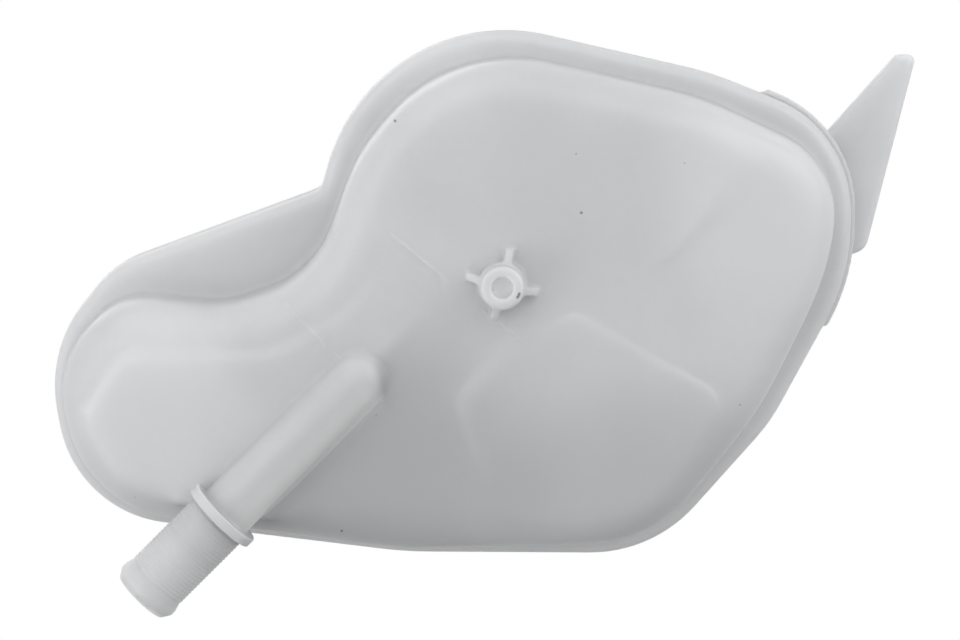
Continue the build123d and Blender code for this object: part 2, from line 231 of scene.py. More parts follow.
mounts = {mount["name"]: mount for mount in frame["record"]["mounts"]}
spigot_land = Vector(mounts["hose_spigot"]["pos_m"])
spigot_axis = Vector(mounts["hose_spigot"]["axis"]).normalized()
spigot_land_radius = mounts["hose_spigot"]["dims"]["r_mm"] * MM
spigot_land_length = mounts["hose_spigot"]["dims"]["length_mm"] * MM
travel = {
    joint["name"]: joint["range_m"][1]
    for joint in frame["record"]["behaviour"]["joints"]
    if "range_m" in joint
}
seam_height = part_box("lower_shell")[1].z
crease_start = (seam_height - 17.0 * MM, seam_height - 10.0 * MM)
crease_end = (seam_height - 7.5 * MM, seam_height - 4.0 * MM)
neck_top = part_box("upper_shell")[1].z
cap_low, cap_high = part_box("cap_shell")
neck_axis = (cap_low + cap_high) / 2
neck_axis.z = 0.0


def length(name, default, description):
    """A length that a user may change, in metres."""
    return bpy.props.FloatProperty(
        name=name,
        description=description,
        default=default,
        min=0.0,
        unit="LENGTH",
        subtype="DISTANCE",
        precision=5,
    )


def colour(name, default, description):
    """A colour that a user may change."""
    return bpy.props.FloatVectorProperty(
        name=name, description=description, default=default, size=3, min=0.0, max=1.0, subtype="COLOR"
    )


def count(name, default, description):
    """A whole number that a user may change."""
    return bpy.props.IntProperty(name=name, description=description, default=default, min=1)


def power(name, default, description):
    """A light's power that a user may change, in watts."""
    return bpy.props.FloatProperty(name=name, description=description, default=default, unit="POWER")


class TankShellSettings(bpy.types.PropertyGroup):
    """Sizes and colours of the two milky shells."""

    lower_grid: length("Lower grid", 0.56 * MM, "Spacing of the lower shell's skin before it is thinned")
    upper_grid: length("Upper grid", 0.8 * MM, "Spacing of the upper shell's skin before it is thinned")
    lower_passes: count("Lower passes", 34, "Relaxing passes over the lower shell's creases")
    upper_passes: count("Upper passes", 14, "Relaxing passes over the upper shell's creases")
    shoulder_passes: count("Shoulder passes", 500, "Relaxing passes over the dome's wide shoulder")
    melt_passes: count("Melting passes", 150, "Relaxing passes where the lower shell's edges are faint")
    lower_faces: count("Lower faces", 180000, "Triangles left on the lower shell")
    upper_faces: count("Upper faces", 110000, "Triangles left on the upper shell")
    pale: colour("Pale", (0.735, 0.740, 0.750), "Milky plastic where the wall is clean")
    dusky: colour("Dusky", (0.660, 0.665, 0.675), "Milky plastic where it is cloudy")
    # Painted shade: a darker colour laid where the spigot's shadow and the darker valley and lower right fall
    painted_shade: colour("Dense", (0.53, 0.535, 0.543), "Milky plastic where the wall is thick")
    # Painted light: a paler colour laid on the shoulders, the left lobe, the peg's bore, the spigot's flank
    # and the rim crease
    clear: colour("Clear", (0.930, 0.935, 0.940), "Milky plastic where light from inside shines through")
    speck: colour("Speck", (0.16, 0.15, 0.14), "Dirt specks in and on the plastic")
    glow_depth: length("Glow depth", 6.0 * MM, "How far light wanders inside the wall")


class SpigotSettings(bpy.types.PropertyGroup):
    """Sizes of the hose spigot's turned end, counted from the middle of its bead's land."""

    skin_gap: length("Skin gap", 0.06 * MM, "How far the sleeve stands off the form under it")
    collar_radius: length("Collar radius", 11.5 * MM, "Outer radius of the hose stop")
    collar_thick: length("Collar thickness", 2.9 * MM, "Thickness of the hose stop")
    seat_radius: length("Seat radius", 9.3 * MM, "Radius of the hose seat between its ribs")
    seat_length: length("Seat length", 26.0 * MM, "Hose seat from the stop to the bead")
    bead_ramp: length("Bead ramp", 2.4 * MM, "Rise of the bead behind its land")
    tip_length: length("Tip length", 2.4 * MM, "From the bead's land to the tip")
    tip_radius: length("Tip radius", 8.6 * MM, "Outer radius of the tip")
    bore_radius: length("Bore radius", 6.6 * MM, "Radius of the spigot's bore")
    bore_depth: length("Bore depth", 20.0 * MM, "How far the sleeve lines the bore")
    rib_count: count("Ribs", 21, "Fine rings round the hose seat")
    rib_height: length("Rib height", 0.16 * MM, "Height of the fine rings")
    edge: length("Edge", 0.25 * MM, "Rounding of the sleeve's edges")
    steps: count("Steps", 120, "Faces round the sleeve")


class CapSettings(bpy.types.PropertyGroup):
    """Sizes and colours of the filler cap and of the thread on the neck."""

    plastic: colour("Cap plastic", (0.020, 0.021, 0.023), "Black of the cap")
    worn: colour("Worn plastic", (0.060, 0.060, 0.062), "Rubbed places on the cap")
    grid: length("Grid", 0.34 * MM, "Spacing of the cap's skin before it is thinned")
    passes: count("Passes", 5, "Relaxing passes over the cap's edges")
    faces: count("Faces", 90000, "Triangles left on the cap")
    neck_root: length("Neck thread root", 20.3 * MM, "Radius at which the neck's thread stands in the neck")
    neck_crest: length("Neck thread crest", 21.95 * MM, "Radius of the neck's thread at its crest")
    cap_root: length("Cap thread root", 22.6 * MM, "Radius at which the cap's thread stands in the skirt")
    cap_crest: length("Cap thread crest", 20.95 * MM, "Radius of the cap's thread at its crest")
    thread_pitch: length("Thread pitch", 5.0 * MM, "Rise of the thread in one turn")
    thread_root: length("Thread root", 2.7 * MM, "Width of a thread at its root")
    thread_land: length("Thread land", 1.1 * MM, "Width of a thread at its crest")
    thread_drop: length("Thread drop", 15.0 * MM, "Where the neck's thread starts below the neck's mouth")
    thread_turns: bpy.props.FloatProperty(
        name="Thread turns", description="Turns of thread", default=2.3, min=0.5
    )
    thread_steps: count("Thread steps", 72, "Faces along one turn of thread")
    ring_inner: length("Ring inner radius", 13.0 * MM, "Inner radius of the raised ring on the cap's roof")
    ring_outer: length("Ring outer radius", 16.5 * MM, "Outer radius of the raised ring on the cap's roof")
    ring_rise: length("Ring rise", 0.6 * MM, "Height of the raised ring on the cap's roof")


class DetailSettings(bpy.types.PropertyGroup):
    """Small moulded details on the shells."""

    weld_flash: length("Weld flash", 0.36 * MM, "Radius of the flash along the weld seam")
    weld_drop: length("Weld drop", 0.3 * MM, "Where the rim is cut below the seam for the flash's line")
    line_half: length("Line half width", 0.5 * MM, "Half the width of a mould line's ridge")
    baffle_half: length("Baffle half width", 1.3 * MM, "Half the width of the line over an inner baffle")
    baffle_rise: length("Baffle rise", 0.45 * MM, "Height of the line over an inner baffle")
    bar_long: length("Bar length", 26.0 * MM, "Length of a level bar")
    bar_high: length("Bar height", 2.2 * MM, "Height of a level bar")
    bar_proud: length("Bar rise", 0.9 * MM, "How far a level bar stands off the wall")
    bar_low: length("Low bar", 29.8 * MM, "Low level bar above the weld seam")
    bar_top: length("High bar", 38.6 * MM, "High level bar above the weld seam")


class StageSettings(bpy.types.PropertyGroup):
    """The camera's place and the studio round the tank."""

    target: bpy.props.FloatVectorProperty(
        name="Target",
        description="Point at the middle of the picture",
        default=(-6.33 * MM, 14.21 * MM, 52.5 * MM),
        size=3,
        subtype="XYZ",
        unit="LENGTH",
        precision=5,
    )
    distance: length("Distance", 1.1, "From the camera to the target")
    tilt: bpy.props.FloatProperty(
        name="Tilt",
        description="Camera's lean off the tank's axis",
        default=math.radians(5.0),
        subtype="ANGLE",
    )
    lens: bpy.props.FloatProperty(
        name="Lens", description="Focal length", default=137.5, subtype="DISTANCE_CAMERA"
    )
    floor_drop: length("Floor drop", 2.4, "How far the floor lies below the tank")
    floor_shade: colour("Floor", (0.62, 0.62, 0.62), "Pale floor")
    sky_low: colour("Low sky", (0.49, 0.49, 0.49), "Studio light from below")
    key_power: power("Key", 4.3, "Key light")
    side_power: power("Side", 3.5, "Side light")
    fill_power: power("Fill", 1.7, "Fill light")
    top_power: power("Top", 2.0, "Light over the cap")


class Field:
    """A shader value that takes part in Python sums, each of which adds a Math node."""

    def __init__(self, finish, socket):
        self.finish = finish
        self.socket = socket

    def maths(self, operation, first, second):
        """Adds a Math node for two values."""
        return self.finish.add("ShaderNodeMath", {0: first, 1: second}, operation=operation)

    def __add__(self, other):
        return self.maths("ADD", self, other)

    __radd__ = __add__

    def __sub__(self, other):
        return self.maths("SUBTRACT", self, other)

    def __rsub__(self, other):
        return self.maths("SUBTRACT", other, self)

    def __mul__(self, other):
        return self.maths("MULTIPLY", self, other)

    __rmul__ = __mul__

    def __truediv__(self, other):
        return self.maths("DIVIDE", self, other)

    def __lt__(self, other):
        return self.maths("LESS_THAN", self, other)

    def above(self, low, high):
        """Nothing below low, all above high, and smooth between."""
        return self.finish.add(
            "ShaderNodeMapRange", {0: self, 1: low, 2: high}, interpolation_type="SMOOTHSTEP", clamp=True
        )


class Finish:
    """A material, or the world, whose nodes are added one by one."""

    def __init__(self, owner):
        self.owner = owner
        owner.use_nodes = True
        self.tree = owner.node_tree
        self.tree.nodes.clear()

    def add(self, kind, inputs=None, output=0, **settings):
        """Adds a node: its settings first, then the values or links of its sockets."""
        node = self.tree.nodes.new(kind)
        for name, value in settings.items():
            setattr(node, name, value)
        for name, value in (inputs or {}).items():
            if isinstance(value, Field):
                self.tree.links.new(value.socket, node.inputs[name])
            else:
                node.inputs[name].default_value = value
        return Field(self, node.outputs[output]) if node.outputs else node

    def place(self):
        """Where a point lies on the piece, in the frame's own coordinates."""
        return self.add("ShaderNodeTexCoord", output="Object")

    def noise(self, scale, detail=3.0, roughness=0.5):
        """Cloudy values from nothing to one."""
        return self.add(
            "ShaderNodeTexNoise",
            {"Vector": self.place(), "Scale": scale, "Detail": detail, "Roughness": roughness},
            output="Fac",
        )

    def axes(self):
        """The x, y and z of a point on the piece."""
        place = self.place()
        return [self.add("ShaderNodeSeparateXYZ", {0: place}, output=axis) for axis in range(3)]

    def spots(self, centres, radius):
        """One inside any of a few small round spots, given as (x, y) seen from below."""
        x, y, z = self.axes()
        found = 0.0
        for across, down in centres:
            off_x, off_y = x - across * MM, y - down * MM
            found = (off_x * off_x + off_y * off_y < radius * radius) + found
        return found * (z < DIRT_HEIGHT)

    def specks(self, scale, radius):
        """One where a sparse round speck lies."""
        inputs = {"Vector": self.place(), "Scale": scale}
        return self.add("ShaderNodeTexVoronoi", inputs, output="Distance") < radius

    def blend(self, factor, first, second):
        """A colour between two colours."""
        shades = {6: first, 7: second}
        for socket, shade in shades.items():
            shades[socket] = shade if isinstance(shade, Field) else (*shade, 1.0)
        return self.add("ShaderNodeMix", {0: factor, **shades}, output=2, data_type="RGBA")

    def bump(self, height, distance, strength):
        """A surface's tilt from its fine relief."""
        return self.add("ShaderNodeBump", {"Height": height, "Distance": distance, "Strength": strength})

    def principled(self, inputs, through=0.0):
        """Closes a material with the main shader, and lets a share of the light through the wall."""
        shader = self.add("ShaderNodeBsdfPrincipled", inputs)
        if through:
            glow = self.add("ShaderNodeBsdfTranslucent", {"Color": inputs["Base Color"]})
            shader = self.add("ShaderNodeMixShader", {0: through, 1: shader, 2: glow})
        self.add("ShaderNodeOutputMaterial", {"Surface": shader})
        return self.owner


def milky_plastic(name, shells):
    """Natural moulded plastic: cloudy, faintly grained, with specks of dirt and dull scuffs, and with painted
    shade and painted light laid into its colour in soft places.
    """
    finish = Finish(bpy.data.materials.new(name))
    clouds = finish.noise(scale=16.0, detail=4.0)
    mottle = finish.noise(scale=420.0, detail=2.0)
    grain = finish.noise(scale=2600.0, detail=2.0)
    scuffs = finish.noise(scale=90.0, detail=6.0, roughness=0.7).above(0.52, 0.74)
    specks = finish.specks(scale=95.0, radius=0.026) * finish.noise(scale=30.0).above(0.5, 0.52)
    tone = clouds.above(0.32, 0.70) * 0.75 + mottle * 0.25
    body = finish.blend(tone, shells.pale, shells.dusky)
    # Painted shade beside the spigot and on the lower right of the underside
    shaded = finish.blend(painted_shade_wall(finish, clouds), body, shells.painted_shade)
    # Painted light on the shoulders, the left lobe, the peg's bore, the spigot's flank and the rim crease
    shaded = finish.blend(painted_light_wall(finish, clouds), shaded, shells.clear)
    dirt = specks * 0.55 + finish.spots(DIRT_SPOTS, DIRT_RADIUS) * 0.7
    stained = finish.blend(dirt, shaded, shells.speck)
    roughness = 0.30 + clouds * 0.08 + scuffs * 0.05
    return finish.principled(
        {
            "Base Color": stained,
            "Roughness": roughness,
            "IOR": PLASTIC_IOR,
            "Subsurface Weight": 0.85,
            "Subsurface Radius": (1.0, 1.0, 1.0),
            "Subsurface Scale": shells.glow_depth,
            "Normal": finish.bump(grain * 0.6 + mottle * 0.4, distance=0.05 * MM, strength=0.5),
        },
        through=0.3,
    )


def patches(finish, places, clouds):
    """Soft cloudy patches on the tank's underside, used for both the painted shade and the painted light."""
    x, y, z = finish.axes()
    found = 0.0
    for middle, reach, strength in places:
        across = (x - middle[0] * MM) / (reach[0] * MM)
        down = (y - middle[1] * MM) / (reach[1] * MM)
        away = across * across + down * down + (clouds - 0.5) * PATCH_CLOUDS
        found = (1 - away.above(PATCH_CORE, 1.0)) * strength + found
    return found * (1 - z.above(*UNDERSIDE_FADE))


def beside_spigot(finish):
    """How far a point lies to the spigot's inner side, off its axis, and along it from the bead."""
    x, y, z = finish.axes()
    east, north, below = x - spigot_land.x, y - spigot_land.y, z - spigot_land.z
    beside = (east + north) * math.sqrt(0.5)
    reach = finish.add("ShaderNodeMath", {0: beside * beside + below * below}, operation="SQRT")
    return beside, reach, east * spigot_axis.x + north * spigot_axis.y


def painted_shade_wall(finish, clouds):
    """Painted shade on the spigot's inner side and past its closed end, standing in for the spigot's shadow
    and the darker valley.
    """
    beside, _, run = beside_spigot(finish)
    past = 1 - run.above(*PAINTED_SHADE_PAST)
    inner = (beside + past * PAINTED_SHADE_PAST_SHIFT).above(*PAINTED_SHADE_BESIDE)
    return patches(finish, PAINTED_SHADE_PATCHES, clouds) * inner


def painted_light_wall(finish, clouds):
    """Painted light on soft patches, the spigot's inner side and the crease."""
    beside, reach, run = beside_spigot(finish)
    on_spigot = beside.above(*PAINTED_LIGHT_BESIDE) * (1 - reach.above(*PAINTED_LIGHT_REACH)) * run.above(*PAINTED_LIGHT_RUN)
    # Painted light: soft patches plus a lit strip on the spigot's inner flank
    glow = patches(finish, PAINTED_LIGHT_PATCHES, clouds) + on_spigot * SPIGOT_PAINTED_LIGHT
    return glow + rim_crease(finish) * CREASE_PAINTED_LIGHT


def rim_crease(finish):
    """The band round the crease where the dome leaves the rim, where painted light lifts the crease's shade.
    """
    height = finish.axes()[2]
    return height.above(*crease_start) * (1 - height.above(*crease_end))


def moulded_plastic(name, dark, worn):
    """Coloured moulded plastic with a spark-eroded grain and dull rubbed places."""
    finish = Finish(bpy.data.materials.new(name))
    grain = finish.noise(scale=1500.0, detail=3.0, roughness=0.6)
    rubbed = finish.noise(scale=140.0, detail=5.0, roughness=0.65).above(0.50, 0.78)
    dust = finish.noise(scale=35.0, detail=5.0).above(0.45, 0.8)
    shade = finish.blend(rubbed * 0.5 + dust * 0.35, dark, worn)
    return finish.principled(
        {
            "Base Color": shade,
            "Roughness": 0.42 + rubbed * 0.12 + dust * 0.15,
            "IOR": PLASTIC_IOR,
            "Normal": finish.bump(grain, distance=0.12 * MM, strength=0.6),
        }
    )


def seal_rubber(name):
    """Dull black rubber with a bloom of dust."""
    finish = Finish(bpy.data.materials.new(name))
    bloom = finish.noise(scale=160.0, detail=5.0, roughness=0.6).above(0.4, 0.75)
    shade = finish.blend(bloom, *RUBBER)
    grain = finish.noise(scale=2400.0, detail=2.0)
    return finish.principled(
        {
            "Base Color": shade,
            "Roughness": 0.62 + bloom * 0.2,
            "IOR": RUBBER_IOR,
            "Normal": finish.bump(grain, distance=0.05 * MM, strength=0.4),
        }
    )


def drawn_metal(name, bright, tarnished, smooth):
    """Drawn or turned metal with tarnish and fine scratches."""
    finish = Finish(bpy.data.materials.new(name))
    tarnish = finish.noise(scale=220.0, detail=5.0, roughness=0.6).above(0.42, 0.72)
    scratches = finish.noise(scale=3000.0, detail=2.0)
    return finish.principled(
        {
            "Base Color": finish.blend(tarnish, bright, tarnished),
            "Metallic": 1.0,
            "Roughness": smooth + tarnish * 0.18 + scratches * 0.08,
            "Normal": finish.bump(scratches, distance=0.02 * MM, strength=0.4),
        }
    )


def active_only(piece):
    """Selects one piece and nothing else."""
    bpy.ops.object.select_all(action="DESELECT")
    piece.select_set(True)
    bpy.context.view_layer.objects.active = piece


def apply_modifier(piece, kind, **settings):
    """Adds a modifier with its settings and applies it."""
    active_only(piece)
    modifier = piece.modifiers.new(kind.title(), kind)
    for name, value in settings.items():
        setattr(modifier, name, value)
    bpy.ops.object.modifier_apply(modifier=modifier.name)


def places_of(piece):
    """The places of a piece's points as rows of x, y and z."""
    places = np.empty(len(piece.data.vertices) * 3)
    piece.data.vertices.foreach_get("co", places)
    return places.reshape(-1, 3)


def cad_copy(name, node):
    """A copy of a CAD node's mesh with its loose triangles joined."""
    piece = bpy.data.objects.new(name, frame["nodes"][node].data.copy())
    bpy.context.collection.objects.link(piece)
    active_only(piece)
    bpy.ops.object.mode_set(mode="EDIT")
    bpy.ops.mesh.customdata_custom_splitnormals_clear()
    bpy.ops.mesh.select_all(action="SELECT")
    bpy.ops.mesh.remove_doubles(threshold=MERGE_DISTANCE)
    bpy.ops.object.mode_set(mode="OBJECT")
    piece.data.materials.clear()
    return piece


def relax(piece, softness, passes):
    """Relaxes a piece's creases, each point by its own softness."""
    group = piece.vertex_groups.new(name="softness")
    steps = np.round(softness * SOFT_STEPS).astype(int)
    for step in np.unique(steps):
        group.add(np.flatnonzero(steps == step).tolist(), step / SOFT_STEPS, "REPLACE")
    apply_modifier(piece, "SMOOTH", factor=RELAX_FACTOR, iterations=passes, vertex_group="softness")
    piece.vertex_groups.clear()


def soft_skin(name, node, grid, faces, relaxing):
    """A CAD node's form as one even skin, relaxed by pairs of a softness function and a number of passes."""
    coarse = 1.0
    piece = cad_copy(name, node)
    apply_modifier(piece, "REMESH", mode="VOXEL", voxel_size=grid * coarse)
    for softness, passes in relaxing:
        relax(piece, softness(places_of(piece)), round(passes / coarse**2))
    triangles = 2 * len(piece.data.polygons)
    apply_modifier(piece, "DECIMATE", ratio=min(1.0, faces / triangles))
    return piece


def drawn_loop(name, corners):
    """A closed wire loop through corners, drawn as one point extruded from corner to corner."""
    bpy.ops.object.select_all(action="DESELECT")
    bpy.ops.mesh.primitive_plane_add(size=MM, location=corners[0])
    piece = bpy.context.object
    piece.name = name
    bpy.ops.object.transform_apply(location=True, rotation=True, scale=True)
    bpy.ops.object.mode_set(mode="EDIT")
    bpy.ops.mesh.select_all(action="SELECT")
    bpy.ops.mesh.merge(type="CENTER")
    for start, end in zip(corners, corners[1:]):
        bpy.ops.mesh.extrude_region_move(TRANSFORM_OT_translate={"value": end - start})
    bpy.ops.object.mode_set(mode="OBJECT")
    edges = np.array([edge.vertices for edge in piece.data.edges])
    pick(piece, np.bincount(edges.ravel()) == 1)
    bpy.ops.mesh.edge_face_add()
    bpy.ops.object.mode_set(mode="OBJECT")
    return piece


def mended():
    """Joins the doubled points of the piece in edit mode and turns its faces outward."""
    bpy.ops.mesh.select_all(action="SELECT")
    bpy.ops.mesh.remove_doubles(threshold=MERGE_DISTANCE)
    bpy.ops.mesh.normals_make_consistent(inside=False)


def turned(name, profile, origin, axis, steps):
    """A closed piece turned about an axis from a half profile, a loop of (radius, height) corners."""
    outward = axis.orthogonal().normalized()
    piece = drawn_loop(name, [origin + outward * radius + axis * height for radius, height in profile])
    bpy.ops.object.mode_set(mode="EDIT")
    bpy.ops.mesh.select_all(action="SELECT")
    bpy.ops.mesh.spin(steps=steps, angle=FULL_TURN, center=origin, axis=axis)
    mended()
    bpy.ops.object.mode_set(mode="OBJECT")
    return piece


def thread(name, root, crest, low, cap):
    """A right-handed ridge wound round the neck's axis, which fades into its wall at both ends."""
    half_root = cap.thread_root / 2
    half_land = cap.thread_land / 2
    profile = [(root, -half_root), (crest, -half_land), (crest, half_land), (root, half_root)]
    piece = drawn_loop(name, [Vector((radius, 0.0, low + height)) for radius, height in profile])
    apply_modifier(
        piece,
        "SCREW",
        axis="Z",
        angle=cap.thread_turns * FULL_TURN,
        screw_offset=cap.thread_turns * cap.thread_pitch,
        steps=round(cap.thread_turns * cap.thread_steps),
        render_steps=round(cap.thread_turns * cap.thread_steps),
    )
    places = places_of(piece)
    ring = len(profile)
    run = np.arange(len(places)) // ring / (len(places) // ring - 1) * cap.thread_turns
    lead = np.clip(np.minimum(run, cap.thread_turns - run) / THREAD_LEAD, THREAD_START, 1.0)
    radius = np.hypot(places[:, 0], places[:, 1])
    drawn = (root + (radius - root) * lead) / radius
    places[:, 0] = places[:, 0] * drawn + neck_axis.x
    places[:, 1] = places[:, 1] * drawn + neck_axis.y
    piece.data.vertices.foreach_set("co", places.ravel())
    active_only(piece)
    bpy.ops.object.mode_set(mode="EDIT")
    bpy.ops.mesh.select_all(action="SELECT")
    bpy.ops.mesh.fill_holes(sides=ring)
    mended()
    bpy.ops.object.mode_set(mode="OBJECT")
    return piece


def settle(piece, body, material, smooth_angle):
    """Gives a finished piece its material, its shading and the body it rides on."""
    active_only(piece)
    bpy.ops.object.shade_smooth_by_angle(angle=math.radians(smooth_angle))
    piece.data.materials.clear()
    piece.data.materials.append(material)
    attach(piece, body)


def along_spigot(places):
    """How far points lie along the spigot from its bead, and how far off its axis."""
    offset = places - np.array(spigot_land)
    run = offset @ np.array(spigot_axis)
    return run, np.linalg.norm(offset - np.outer(run, np.array(spigot_axis)), axis=1)


def pick(piece, chosen):
    """Opens a piece in edit mode with the chosen points selected."""
    active_only(piece)
    mesh = piece.data
    mesh.polygons.foreach_set("select", np.zeros(len(mesh.polygons), dtype=bool))
    mesh.edges.foreach_set("select", np.zeros(len(mesh.edges), dtype=bool))
    mesh.vertices.foreach_set("select", chosen)
    bpy.ops.object.mode_set(mode="EDIT")
    bpy.ops.mesh.select_mode(type="VERT")


def near_path(places, path, reach):
    """One on a path of corners seen from below, falling to nothing at a reach from it."""
    nearest = np.full(len(places), np.inf)
    for start, end in zip(path, path[1:]):
        start, end = np.array(start) * MM, np.array(end) * MM
        offset = places[:, :2] - start
        share = np.clip(offset @ (end - start) / ((end - start) @ (end - start)), 0.0, 1.0)
        nearest = np.minimum(nearest, np.linalg.norm(offset - np.outer(share, end - start), axis=1))
    return np.clip(PATH_GAIN * (1 - nearest / reach), 0.0, 1.0)


def ridge(skin, path, half, rise, side):
    """Raises a ridge along a straight path by three cuts across the skin, below (-1) or above (1)."""
    start, end = (Vector((*corner, 0.0)) * MM for corner in path)
    across = (end - start).normalized().cross(Vector((0.0, 0.0, 1.0)))
    for shift in (-half, half, 0.0):
        pick(skin, beside_line(skin, path, start, across, RIDGE_REACH, side))
        bpy.ops.mesh.bisect(plane_co=start + across * shift, plane_no=across)
        bpy.ops.object.mode_set(mode="OBJECT")
    pick(skin, beside_line(skin, path, start, across, half / CREST_SHARE, side))
    bpy.ops.transform.translate(value=(0.0, 0.0, side * rise))
    bpy.ops.object.mode_set(mode="OBJECT")


def beside_line(skin, path, start, across, width, side):
    """The skin's points that face down (-1) or up (1) along a straight path, up to a width."""
    places = places_of(skin)
    normals = np.empty(places.size)
    skin.data.vertices.foreach_get("normal", normals)
    within = near_path(places, path, RIDGE_REACH) > 0.0
    near = np.abs((places - np.array(start)) @ np.array(across)) < width
    return within & near & (normals[2::3] * side > FACING)


class TANK_OT_lower_shell(bpy.types.Operator):
    """Builds the lower shell's soft skin over its CAD form"""

    bl_idname = "tank.lower_shell"
    bl_label = "Lower shell"

    def execute(self, context):
        shells = context.scene.tank_shells
        relaxing = [
            (self.softness, shells.lower_passes),
            (self.melting, shells.melt_passes),
            (self.shoulder, shells.shoulder_passes),
        ]
        skin = soft_skin("lower_skin", "lower_shell", shells.lower_grid, shells.lower_faces, relaxing)
        details = context.scene.tank_details
        for path, rise in MOULD_LINES:
            ridge(skin, path, details.line_half, rise, -1)
        settle(skin, "tank", milky_plastic("milky_lower", shells), SKIN_ANGLE)
        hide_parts("lower_shell")
        return {"FINISHED"}

    def softness(self, places):
        """Crisp on the spigot, the peg, the seam and the fan's foot, soft elsewhere."""
        run, reach = along_spigot(places)
        x, y, z = places.T
        on_spigot = (reach < CRISP_SPIGOT_REACH) & (run > CRISP_SPIGOT_RUN)
        on_peg = (np.hypot(x, y) < CRISP_PEG_REACH) & (z < CRISP_PEG_HEIGHT)
        on_seam = z > seam_height - CRISP_SEAM
        on_foot = near_path(places, FAN_FOOT, CRISP_FOOT_REACH) > CRISP_FOOT_SHARE
        crisp = on_spigot | on_peg | on_seam
        return np.where(crisp, LOWER_CRISP, np.where(on_foot, FOOT_CRISP, 1.0))

    def melting(self, places):
        """Extra softness along the panel's left side and round the left lobe's step."""
        low = np.clip((MELT_TOP - places[:, 2]) / MELT_FADE, 0.0, 1.0)
        _, reach = along_spigot(places)
        clear = np.clip((reach - MELT_SPIGOT_REACH) / MELT_FADE, 0.0, 1.0)
        panel = near_path(places, PANEL_SIDE, MELT_PANEL_REACH)
        step = near_path(places, STEP_SIDE, MELT_STEP_REACH)
        return np.maximum(panel, step) * low * clear

    def shoulder(self, places):
        """Extra softness over the dome's shoulder, little on the step's edge, none on rim, spigot and peg."""
        height = places[:, 2] / MM
        run, reach = along_spigot(places)
        clear = np.clip((reach - SHOULDER_SPIGOT_REACH) / SHOULDER_SPIGOT_FADE, 0.0, 1.0)
        start = np.clip((height - SHOULDER_LOW) / SHOULDER_FADE, 0.0, 1.0)
        end = np.clip((SHOULDER_HIGH - height) / SHOULDER_FADE, 0.0, 1.0)
        off_step = 1 - STEP_RIDGE_HOLD * near_path(places, STEP_RIDGE, STEP_RIDGE_REACH)
        return start * end * off_step * np.where(run > SPIGOT_END, clear, 1.0)


class TANK_OT_upper_shell(bpy.types.Operator):
    """Builds the upper shell's soft skin over its CAD form"""

    bl_idname = "tank.upper_shell"
    bl_label = "Upper shell"

    def execute(self, context):
        shells = context.scene.tank_shells
        relaxing = [(self.softness, shells.upper_passes)]
        skin = soft_skin("upper_skin", "upper_shell", shells.upper_grid, shells.upper_faces, relaxing)
        details = context.scene.tank_details
        for path in BAFFLE_LINES:
            ridge(skin, path, details.baffle_half, details.baffle_rise, 1)
        settle(skin, "tank", milky_plastic("milky_upper", shells), SKIN_ANGLE)
        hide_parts("upper_shell")
        return {"FINISHED"}

    def softness(self, places):
        """Crisp on the neck, the nipple, the seam, the fixing lip and the fin, soft elsewhere."""
        x, y, z = places.T
        off_neck = np.hypot(x - neck_axis.x, y - neck_axis.y)
        on_neck = (off_neck < CRISP_NECK_REACH) & (z > neck_top - CRISP_NECK_DEPTH)
        on_fin = (x > CRISP_FIN_X) & (y < CRISP_FIN_Y) & (z < seam_height + CRISP_FIN_RISE)
        on_nipple = (x < CRISP_NIPPLE_X) & (z > seam_height + CRISP_NIPPLE_RISE)
        on_seam = z < seam_height + CRISP_SEAM
        return np.where(on_neck | on_fin | on_nipple | on_seam, UPPER_CRISP, 1.0)


class TANK_OT_spigot(bpy.types.Operator):
    """Turns the hose spigot's end with its stop, ribbed seat, bead and bore"""

    bl_idname = "tank.spigot"
    bl_label = "Hose spigot"

    def execute(self, context):
        spigot = context.scene.tank_spigot
        sleeve = turned("hose_spigot", self.profile(spigot), spigot_land, spigot_axis, spigot.steps)
        settle(sleeve, "tank", bpy.data.materials["milky_lower"], SLEEVE_ANGLE)
        return {"FINISHED"}

    def profile(self, spigot):
        """The sleeve's half profile: over the stop, along the ribs to the tip, and back inside the wall."""
        gap = spigot.skin_gap
        edge = spigot.edge
        land = spigot_land_length / 2
        seat = spigot.seat_radius + gap
        collar = spigot.collar_radius + gap
        bore = spigot.bore_radius - gap
        ramp_start = -land - spigot.bead_ramp
        stop_front = ramp_start - spigot.seat_length + gap
        stop_back = stop_front - spigot.collar_thick - 2 * gap
        tip = land + spigot.tip_length + gap
        inside = (spigot.seat_radius + spigot.bore_radius) / 2
        outer = [
            (inside, stop_back),
            (collar - edge, stop_back),
            (collar, stop_back + edge),
            (collar, stop_front - edge),
            (collar - edge, stop_front),
            (seat + 2 * edge, stop_front),
            (seat + edge / 2, stop_front + edge / 2),
            (seat, stop_front + 2 * edge),
        ]
        rib_pitch = (spigot.seat_length - 6 * edge) / spigot.rib_count
        ribs = []
        for rib in range(spigot.rib_count):
            start = stop_front + 4 * edge + rib * rib_pitch
            ribs += [
                (seat, start),
                (seat + spigot.rib_height, start + RIB_UP * rib_pitch),
                (seat + spigot.rib_height, start + RIB_LAND * rib_pitch),
                (seat, start + RIB_DOWN * rib_pitch),
            ]
        bead = spigot_land_radius + gap
        return outer + ribs + [
            (seat, ramp_start),
            (bead - edge / 4, -land - edge),
            (bead, -land + edge),
            (bead, land - edge),
            (bead - edge / 2, land + edge / 2),
            (spigot.tip_radius + gap, tip - edge),
            (spigot.tip_radius + gap - edge, tip),
            (bore + edge, tip),
            (bore, tip - edge),
            (bore, tip - spigot.bore_depth),
            (inside, tip - spigot.bore_depth - edge),
        ]


